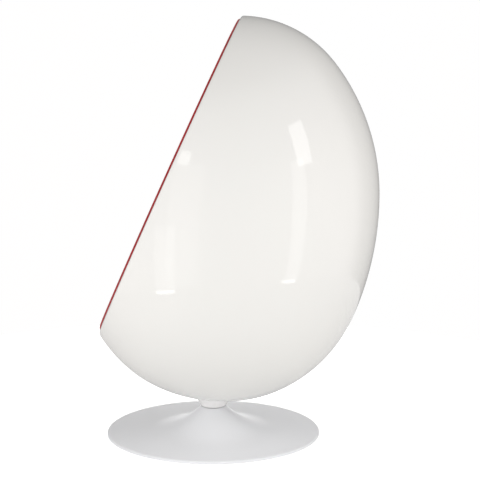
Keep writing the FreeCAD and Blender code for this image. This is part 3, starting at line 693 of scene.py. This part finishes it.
def makeRimPiping():
    around = np.linspace(-0.5 * np.pi, 1.5 * np.pi, piping["around"], endpoint=False)
    turns = np.linspace(0, np.pi, piping["sides"])
    rows = []
    for turn in turns:
        inset = piping["inset"] + piping["halfWidth"] * math.cos(turn)
        rows.append(eggRing(around, inset, -piping["proud"] * math.sin(turn)))
    piece = surface("rimPiping", rows, pipingWoolPaintedLighter, closedRows=True)
    along, _ = arcLength(rows[len(rows) // 2])
    mark(piece, "pipingRun", np.tile(along, len(rows)))
    mark(piece, "pipingTurn", np.repeat(turns * 4, len(around)))
    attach(piece, "chair")
    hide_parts("rim_trim")


makeRimPiping()

# Sewn cover of the lining, with eight gores that meet at the crown. The distance from a seam is
# the distance from the egg's axis times asin(cos(4 azimuth)) / 4, which is 0 on each seam.

lining = {
    "around": 400,
    "rows": 150,
    "outsideRows": 50,
    "outsideInset": 0.0273,
    "insideInset": 0.0313,
    "lapInset": 0.0205,
    "lapRound": 0.0045,
    "lapStart": 0.002,
    "flangeBack": 0.0073,
    "flangeGap": 0.0003,
    "gores": 8,
    "dip": 0.0026,
    "dipWidth": 0.022,
    "recessRadius": 0.146,
    "recessTop": 0.216,
    "runRadius": 0.50,
}


# Azimuth about the egg's axis, distance from the axis and angle from the crown, before pressing
def aboutAxis(points):
    reach = unplaced(points)
    height = reach @ crownWay
    backwards = reach @ backWay
    out = np.hypot(reach[:, 0], backwards)
    return np.arctan2(reach[:, 0], backwards), out, np.arctan2(out, height)


def seamCoordinates(points):
    azimuth, out, angle = aboutAxis(points)
    half = lining["gores"] / 2
    return out * np.arcsin(np.clip(np.cos(half * azimuth), -1, 1)) / half, angle * lining["runRadius"]


# Round hole through the cover at the bottom, over the board
def cutRecess(piece):
    tall = lining["recessTop"]
    bpy.ops.mesh.primitive_cylinder_add(vertices=128, radius=lining["recessRadius"], depth=tall,
                                        location=(0, 0, tall / 2))
    drill = bpy.context.object
    cut = piece.modifiers.new("recess", "BOOLEAN")
    cut.operation = "DIFFERENCE"
    cut.solver = "EXACT"
    cut.object = drill
    settle(piece)
    bpy.data.objects.remove(drill)


# The piece's modifiers are worked into its mesh
def settle(piece):
    bpy.context.view_layer.update()
    worked = piece.evaluated_get(bpy.context.evaluated_depsgraph_get())
    mesh = bpy.data.meshes.new_from_object(worked)
    piece.modifiers.clear()
    piece.data = mesh


def pointsOf(piece, kind="co"):
    values = np.empty(len(piece.data.vertices) * 3, np.float32)
    piece.data.vertices.foreach_get(kind, values)
    return values.reshape(-1, 3).astype(float)


def normalsOf(piece):
    return pointsOf(piece, "normal")


def movePoints(piece, points):
    piece.data.vertices.foreach_set("co", np.asarray(points, np.float32).ravel())
    piece.data.update()


# The back follows the egg behind the foam, a half round laps over the flange's edge, and the face
# follows the egg, with a bell curve of the distance from a seam as its dip
def makeLining():
    around = np.linspace(0, 2 * np.pi, lining["around"], endpoint=False)
    lapRound = lining["lapRound"]
    rows = eggRows(around, lining["outsideInset"], lining["flangeBack"], lining["outsideRows"])
    rows.append(eggRing(around, lining["lapInset"], lining["flangeBack"] - lining["flangeGap"]))
    middle = (lining["lapInset"] + lining["insideInset"]) / 2
    half = (lining["insideInset"] - lining["lapInset"]) / 2
    for turn in np.linspace(0, np.pi, 11):
        rows.append(eggRing(around, middle - half * math.cos(turn), lapRound * (1 - math.sin(turn))))
    edge = lapRound + lining["lapStart"]
    for row in eggRows(around, lining["insideInset"], edge, lining["rows"])[::-1]:
        away, _ = seamCoordinates(row)
        dip = lining["dip"] * np.exp(-(away / lining["dipWidth"]) ** 2)
        outer = row - eggCentre
        rows.append(row + outer / np.linalg.norm(outer, axis=1)[:, None] * dip[:, None])
    piece = surface("liningCover", rows, coverWool)
    cutRecess(piece)
    closeSeams(piece)
    away, run = seamCoordinates(pointsOf(piece))
    mark(piece, "seamDistance", away)
    mark(piece, "seamRun", run)
    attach(piece, "chair")
    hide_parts("lining_back", "lining_back_left", "lining_back_right", "lining_side_left",
                "lining_side_right", "lining_front_left", "lining_front_right", "lining_front",
                "lining_crown", "lining_crown_left", "lining_crown_right")


makeLining()

# Covered button at the crown: rings about the egg's axis

button = {
    "radius": 0.017,
    "height": 0.009,
    "round": 0.004,
    "dome": 0.0016,
    "sunk": 0.0004,
    "back": ((0.8, 0.0005), (1.0, 0.002)),  # shares of the radius, and how far each is from the top
}


def makeButton():
    around = np.linspace(0, 2 * np.pi, 48, endpoint=False)[:, None]
    top = float(eggReach(np.zeros(1), lining["insideInset"])[0]) - button["sunk"]
    bottom = top - button["height"]
    radius, small, dome = button["radius"], button["round"], button["dome"]
    profile = [(0.0, top)]
    for share, drop in button["back"]:
        profile.append((radius * share, top - drop))
    profile.append((radius, bottom + dome + small))
    for turn in np.radians(np.linspace(0, 90, 6))[1:]:
        profile.append((radius - small * (1 - math.cos(turn)), bottom + dome + small * (1 - math.sin(turn))))
    for share in (0.75, 0.5, 0.25):
        inner = (radius - small) * share
        profile.append((inner, bottom + dome * (inner / (radius - small)) ** 2))
    profile.append((0.0, bottom))
    rows = []
    for out, height in profile:
        ring = out * (np.cos(around) * sideWay + np.sin(around) * backWay) + height * crownWay
        rows.append(placed(ring if out else ring[:1]))
    piece = surface("crownButton", rows, cushionWool)
    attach(piece, "chair")
    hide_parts("crown_button")


makeButton()


# A merged copy of a node's mesh, smooth except at corners sharper than 35 degrees
def copyOf(nodeName, name, paint):
    piece = added(name, nodes[nodeName].data.copy())
    closeSeams(piece)
    piece.data.materials.clear()
    piece.data.materials.append(paint.material)
    piece.data.set_sharp_from_angle(angle=math.radians(35))
    return piece


for nodeName, name in (("liner_foam", "linerFoam"), ("seat_base_foam", "seatBaseFoam")):
    piece = copyOf(nodeName, name, foam)
    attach(piece, "chair")
    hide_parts(nodeName)
piece = copyOf("cushion_strips", "cushionStrips", stripTape)
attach(piece, "chair")
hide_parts("cushion_strips")
print("piping, lining, button and foam made")

# Cushions: the node's solid is drawn in a little, blown up as cloth, and kept off what it lies
# on. A seam is the ring of points that reach furthest at a lean to the face, with piping in it.

cushion = {
    "voxel": 0.006,
    "shrink": 0.008,
    "pressure": 4.0,
    "frames": 20,
    "cap": 0.026,
    "relax": 8,
    "seamWaves": 9.0,
    "welt": 0.0034,
    "weltPoints": 420,
    "groove": 0.0034,
    "grooveWidth": 0.006,
    "pucker": 0.0006,
    "puckerLength": 0.023,
    "puckerReach": 0.016,
    "weltSunk": 0.0012,
    "seamBins": 180,
    "lining": 0.0318,
    "strips": 0.0347,
    "gap": 0.0008,
    "press": 0.025,
    "uneven": 0.0012,
    "probe": 0.004,
    "block": 4000,
}
seatTilt = math.radians(5.0)
seatOrigin = np.array([0.0, 0.030, 0.262])
seatUp = np.array([0.0, math.sin(seatTilt), math.cos(seatTilt)])


# The cloth swells under pressure. Its swelling is then scaled so that nearly all of it is within
# the cap, held to the cap, and smoothed.
def blowUp(piece):
    start = pointsOf(piece)
    movePoints(piece, start - normalsOf(piece) * cushion["shrink"])
    start = pointsOf(piece)
    cloth = piece.modifiers.new("cloth", "CLOTH")
    settings = cloth.settings
    settings.quality = 4
    settings.mass = 0.3
    settings.tension_stiffness = 18.0
    settings.compression_stiffness = 18.0
    settings.shear_stiffness = 8.0
    settings.bending_stiffness = 0.6
    settings.use_pressure = True
    settings.uniform_pressure_force = cushion["pressure"]
    settings.effector_weights.gravity = 0.0
    cloth.collision_settings.use_collision = False
    for number in range(1, cushion["frames"] + 1):
        bpy.context.scene.frame_set(number)
    settle(piece)
    bpy.context.scene.frame_set(1)
    moved = pointsOf(piece) - start
    far = np.linalg.norm(moved, axis=1)
    most = np.percentile(far, 99)
    print(piece.name, "swelled by", np.round(np.percentile(far, (5, 50, 95, 99)) * 1000, 1), "mm")
    moved *= min(1.0, cushion["cap"] / most)
    far = np.linalg.norm(moved, axis=1)
    moved *= (np.minimum(far, cushion["cap"]) / np.maximum(far, 1e-9))[:, None]
    movePoints(piece, start + moved)
    relax = piece.modifiers.new("relax", "SMOOTH")
    relax.factor = 0.5
    relax.iterations = cushion["relax"]
    settle(piece)


# Points outside the egg's surface at an inset move straight in to it
def keepInEgg(points, inset):
    reach = unplaced(points)
    far = np.linalg.norm(reach, axis=1)
    _, _, angle = aboutAxis(points)
    return placed(reach * np.minimum(1.0, eggReach(angle, inset) / far)[:, None])


# A modifier that moves points to the nearest place of another piece's surface
def wrapTo(piece, other, mode, offset):
    wrap = piece.modifiers.new("wrap", "SHRINKWRAP")
    wrap.wrap_method = "NEAREST_SURFACEPOINT"
    wrap.wrap_mode = mode
    wrap.target = other
    wrap.offset = offset


# Points inside another piece move out of it, and a point that would go further than a press stays
def keepOff(piece, other, gap):
    before = pointsOf(piece)
    wrapTo(piece, other, "OUTSIDE", gap)
    settle(piece)
    after = pointsOf(piece)
    far = np.linalg.norm(after - before, axis=1)
    movePoints(piece, np.where((far < cushion["press"])[:, None], after, before))


# The seam: of the points in each bin of angle about the middle of the face, the one that reaches
# furthest at the lean, and a closed curve through these with its higher waves damped
def seamRing(points, across, along, out, lean):
    count, welts = cushion["seamBins"], cushion["weltPoints"]
    middle = [(values.max() + values.min()) / 2 for values in (across, along)]
    turn = np.arctan2(along - middle[1], across - middle[0])
    reach = np.hypot(along - middle[1], across - middle[0]) * math.cos(lean) + out * math.sin(lean)
    bins = ((turn / (2 * np.pi) + 0.5) * count).astype(int) % count
    order = np.lexsort((reach, bins))
    last = np.searchsorted(bins[order], np.arange(count), side="right") - 1
    ring = points[order[last]]
    waves = np.fft.rfft(ring, axis=0)
    number = np.arange(len(waves))
    waves *= np.exp(-(number / cushion["seamWaves"]) ** 4)[:, None]
    spread = np.zeros((welts // 2 + 1, 3), complex)
    spread[:len(waves)] = waves
    return np.fft.irfft(spread, welts, axis=0) * welts / count


# The ring laid on the piece's surface, with the surface's normals there
def laidOn(piece, ring):
    mesh = bpy.data.meshes.new("ring")
    index = np.arange(len(ring))
    mesh.from_pydata(ring.tolist(), np.stack([index, (index + 1) % len(ring)], 1).tolist(), [])
    guide = added("ring", mesh)
    laid = []
    for offset in (0.0, cushion["probe"]):
        wrapTo(guide, piece, "ABOVE_SURFACE", offset)
        bpy.context.view_layer.update()
        worked = guide.evaluated_get(bpy.context.evaluated_depsgraph_get())
        laid.append(np.array([point.co for point in worked.data.vertices]))
        guide.modifiers.clear()
    bpy.data.objects.remove(guide)
    normal = laid[1] - laid[0]
    normal = sum(np.roll(normal, step, 0) for step in (0, 1, -1, 2, -2))
    return laid[0], normal / np.linalg.norm(normal, axis=1)[:, None]


# Each point's distance from the ring, and which of the ring's points is nearest
def nearestOf(points, ring):
    distance = []
    nearest = []
    for start in range(0, len(points), cushion["block"]):
        block = points[start:start + cushion["block"]]
        squares = ((block[:, None] - ring[None]) ** 2).sum(2)
        nearest.append(squares.argmin(1))
        distance.append(np.sqrt(squares.min(1)))
    return np.concatenate(distance), np.concatenate(nearest)


# A groove, a bell curve of the distance from the ring, with puckers, a sine of the length along
# it, and a round tube of piping that is sunk a little in the groove
def sewPiping(piece, ring, name):
    ring, normal = laidOn(piece, ring)
    along, length = arcLength(ring)
    points = pointsOf(piece)
    distance, nearest = nearestOf(points, ring)
    count = round(length / cushion["puckerLength"])
    share = 2 * np.pi * along[nearest] / length
    wave = np.sin(count * share + 1.3 * np.sin(5 * share))
    groove = cushion["groove"] * np.exp(-(distance / cushion["grooveWidth"]) ** 2)
    pucker = cushion["pucker"] * wave * np.exp(-(distance / cushion["puckerReach"]) ** 2)
    movePoints(piece, points + normalsOf(piece) * (pucker - groove)[:, None])
    welt, sunk = cushion["welt"], cushion["weltSunk"]
    forward = np.roll(ring, -1, 0) - np.roll(ring, 1, 0)
    forward /= np.linalg.norm(forward, axis=1)[:, None]
    aside = np.cross(forward, normal)
    turns = np.linspace(0, 2 * np.pi, 12, endpoint=False)
    rows = []
    for turn in turns:
        rows.append(ring + (welt * math.cos(turn) - sunk) * normal + welt * math.sin(turn) * aside)
    tube = surface(name, rows, pipingWoolPaintedLighter, closedRows=True)
    mark(tube, "pipingRun", np.tile(along, len(turns)))
    mark(tube, "pipingTurn", np.repeat(turns * 2, len(ring)))
    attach(tube, "chair")


# Slow unevenness of a used cushion: three crossed waves of about a hand's width
def unevenness(points, height):
    x, y, z = points.T
    waves = np.sin(31 * x + 17 * y + 5 * z) + np.sin(-19 * x + 27 * z + 9 * y)
    return height * (waves + np.sin(13 * x - 33 * z + 21 * y)) / 3


# A cushion that faces up is seamed about the seat's plane, and one that faces the front about the
# egg's own angles
def makeCushion(nodeName, name, inset, lean, faceWay, above=None):
    piece = copyOf(nodeName, name, cushionWool)
    remesh = piece.modifiers.new("remesh", "REMESH")
    remesh.mode = "VOXEL"
    remesh.voxel_size = cushion["voxel"]
    settle(piece)
    blowUp(piece)
    points = pointsOf(piece)
    points += normalsOf(piece) * unevenness(points, cushion["uneven"])[:, None]
    if above is None:
        low = (points - seatOrigin) @ seatUp
        points += np.maximum(cushion["gap"] - low, 0.0)[:, None] * seatUp
    movePoints(piece, keepInEgg(points, inset))
    if above is not None:
        keepOff(piece, above, cushion["gap"])
    smooth = piece.modifiers.new("smooth", "SUBSURF")
    smooth.levels = smooth.render_levels = 1
    settle(piece)
    piece.data.shade_smooth()
    points = pointsOf(piece)
    if faceWay == "up":
        across, along = points[:, 0], points @ np.cross(seatUp, sideWay)
        out = (points - seatOrigin) @ seatUp
    else:
        azimuth, _, angle = aboutAxis(points)
        across, along = azimuth * 0.3, angle * 0.5
        out = eggReach(angle, 0.0) - np.linalg.norm(unplaced(points), axis=1)
    ring = seamRing(points, across, along, out, math.radians(lean))
    sewPiping(piece, ring, name + "Piping")
    outwards(piece)
    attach(piece, "chair")
    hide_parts(nodeName)
    print(name, "made with", len(piece.data.vertices), "points")
    return piece


seatCushion = makeCushion("seat_cushion", "seatCushion", cushion["lining"], 40.0, "up")
backCushion = makeCushion("back_cushion", "backCushion", cushion["strips"], 24.0, "front", seatCushion)
makeCushion("head_cushion", "headCushion", cushion["strips"], 24.0, "front", backCushion)

# Camera

view = {
    "place": (4.5, 0.2104, 1.3618),
    "yaw": -0.02817,
    "pitch": 0.16441,
    "focalPixels": 1475.04,
    "framePixels": 480,
    "sensor": 36.0,
    "clip": (0.05, 500.0),
}


# A camera or lamp at a place, turned to look one way
def pointed(piece, place, way):
    piece.location = place
    piece.rotation_mode = "QUATERNION"
    piece.rotation_quaternion = way.to_track_quat("-Z", "Y")


def makeCamera():
    yaw, pitch = view["yaw"], view["pitch"]
    way = Vector((-math.cos(yaw) * math.cos(pitch), math.sin(yaw) * math.cos(pitch), -math.sin(pitch)))
    data = bpy.data.cameras.new("camera")
    data.sensor_width = view["sensor"]
    data.lens = view["focalPixels"] / view["framePixels"] * view["sensor"]
    data.clip_start, data.clip_end = view["clip"]
    camera = added("camera", data)
    pointed(camera, view["place"], way)
    bpy.context.scene.camera = camera


makeCamera()

# Floor, softboxes and a studio that is bright in front and at the sides, and dark overhead

studio = {
    "floorReach": 1.6,
    "floorSides": 96,
    "floorGlow": (0.145, 0.36),
    "floorWhite": 0.70,
    "behind": 0.27,
    "front": 0.80,
    "frontStart": 0.58,
    "frontWidth": 0.4,
    "sides": 0.32,
    "leftward": 0.06,
    "sideTint": colour(1.02, 0.985, 0.98),
    "overhead": 0.29,
    "overheadSlope": (0.30, 0.14),
    "overheadStart": 0.57,
    "overheadWidth": 0.32,
    "aim": (0.35, 0.2, 0.95),
    "distance": 3.0,
}
# Each softbox: azimuth and elevation from the aim, width and height in degrees, and brightness
softboxes = {
    "rightWindow": (59.0, 25.0, 13.0, 22.0, 2.6),
    "leftWindow": (-40.5, 22.5, 9.0, 7.0, 2.6),
}
# Each panel stands upright and faces the chair: place on the floor, width, bottom, top, brightness
panels = {
    "rightPanel": (0.905, 0.94, 0.21, 0.13, 1.20, 1.0),
    "rightPanelFoot": (0.93, 0.91, 0.22, 0.10, 0.13, 5.0),
    "leftPanel": (1.09, -0.77, 0.31, 0.10, 0.68, 0.75),
    "leftPanelFoot": (1.09, -0.77, 0.31, 0.06, 0.10, 4.0),
    "leftScreen": (1.26, -0.57, 0.50, 0.10, 1.30, 0.5),
    "lowBackdrop": (-1.15, 0.0, 1.20, 0.0, 0.16, 4.8),
}

# A soft light before the opening, for the upholstery alone
insideLight = {
    "place": (0.15, -1.9, 1.35),
    "aim": (0.0, 0.12, 0.62),
    "side": 1.2,
    "brightness": 3.0,
    "lights": ("liningCover", "crownButton", "seatCushion", "seatCushionPiping", "backCushion",
               "backCushionPiping", "headCushion", "headCushionPiping"),
}


# A disc that glows more towards its edge, by the square of the distance, and is white to the camera
def makeFloor():
    reach = studio["floorReach"]
    sides = studio["floorSides"]
    ring = np.linspace(0, 2 * np.pi, sides, endpoint=False)
    points = np.stack([reach * np.cos(ring), reach * np.sin(ring), np.zeros(sides)], 1)
    mesh = bpy.data.meshes.new("floor")
    mesh.from_pydata(points.tolist(), [], [list(range(sides))])
    floor = added("floor", mesh)
    paint = Paint("floorPaint", Base_Color=colour(0.82, 0.82, 0.82), Roughness=0.9, Specular_IOR_Level=0.0,
                  Emission_Strength=1.0)
    seen = paint.node("ShaderNodeLightPath", output="Is Camera Ray")
    x, y, _ = paint.parts(paint.place())
    near, far = studio["floorGlow"]
    outer = ((x * x + y * y) / reach ** 2).clipped()
    glow = seen * studio["floorWhite"] + near + outer * (far - near)
    paint.feed(Emission_Color=paint.mixed(glow, colour(0, 0, 0), colour(1, 1, 1)))
    mesh.materials.append(paint.material)


# An area light that the camera doesn't see, by the brightness of its face
def makeLamp(name, place, way, width, height, brightness):
    data = bpy.data.lights.new(name, "AREA")
    data.shape = "RECTANGLE"
    data.size = width
    data.size_y = height
    data.energy = brightness * math.pi * width * height
    lamp = added(name, data)
    pointed(lamp, place, way)
    lamp.visible_camera = False
    return lamp


def makeSoftbox(name, azimuth, elevation, width, height, brightness):
    turn, lift = math.radians(azimuth), math.radians(elevation)
    way = Vector((math.cos(turn) * math.cos(lift), math.sin(turn) * math.cos(lift), math.sin(lift)))
    distance = studio["distance"]
    wide = 2 * distance * math.tan(math.radians(width / 2))
    tall = 2 * distance * math.tan(math.radians(height / 2))
    makeLamp(name, Vector(studio["aim"]) + way * distance, -way, wide, tall, brightness)


def makePanel(name, x, y, width, bottom, top, brightness):
    place = (x, y, (bottom + top) / 2)
    return makeLamp(name, place, Vector((-x, -y, 0)), width, top - bottom, brightness)


# A lamp that lights the named pieces alone
def lightOnly(lamp, names):
    lit = bpy.data.collections.new(lamp.name)
    for name in names:
        lit.objects.link(bpy.data.objects[name])
    lamp.light_linking.receiver_collection = lit


def makeInsideLight():
    place, side = insideLight["place"], insideLight["side"]
    way = Vector(insideLight["aim"]) - Vector(place)
    lamp = makeLamp("insideLight", place, way, side, side, insideLight["brightness"])
    lightOnly(lamp, insideLight["lights"])


# The world's light, by direction: from dark behind to bright in front over a width in x, brighter
# towards each side, and dark above a slanting plane. The camera itself sees white.
def makeStudio():
    world = bpy.data.worlds.new("studio")
    world.use_nodes = True
    bpy.context.scene.world = world
    tree = world.node_tree
    background = tree.nodes["Background"]
    split = tree.nodes.new("ShaderNodeSeparateXYZ")
    tree.links.new(tree.nodes.new("ShaderNodeTexCoord").outputs["Generated"], split.inputs[0])
    seen = Wire(tree.nodes.new("ShaderNodeLightPath").outputs["Is Camera Ray"])
    x, y, z = [Wire(output) for output in split.outputs]
    slopeX, slopeY = studio["overheadSlope"]
    front = ((x + studio["frontStart"]) / studio["frontWidth"]).eased()
    high = ((z - slopeY * y - slopeX * x - studio["overheadStart"]) / studio["overheadWidth"]).eased()
    lit = studio["front"] + abs(y) * studio["sides"] - y * studio["leftward"]
    walls = studio["behind"] + front * (lit - studio["behind"])
    glow = walls * (1 - high) + high * studio["overhead"]
    tree.links.new((seen + (1 - seen) * glow).socket, background.inputs["Strength"])
    tint = tree.nodes.new("ShaderNodeMix")
    tint.data_type = "RGBA"
    tree.links.new(abs(y).socket, tint.inputs[0])
    tint.inputs[6].default_value = colour(1, 1, 1)
    tint.inputs[7].default_value = studio["sideTint"]
    tree.links.new(tint.outputs[2], background.inputs["Color"])


makeFloor()
for name, values in softboxes.items():
    makeSoftbox(name, *values)
for name, values in panels.items():
    lamp = makePanel(name, *values)
    if name == "lowBackdrop":
        lightOnly(lamp, ("trumpet", "neckCone"))
makeInsideLight()
makeStudio()
bpy.context.scene.view_settings.view_transform = "Standard"
bpy.context.scene.view_settings.look = "None"
print("camera, floor and lights made")
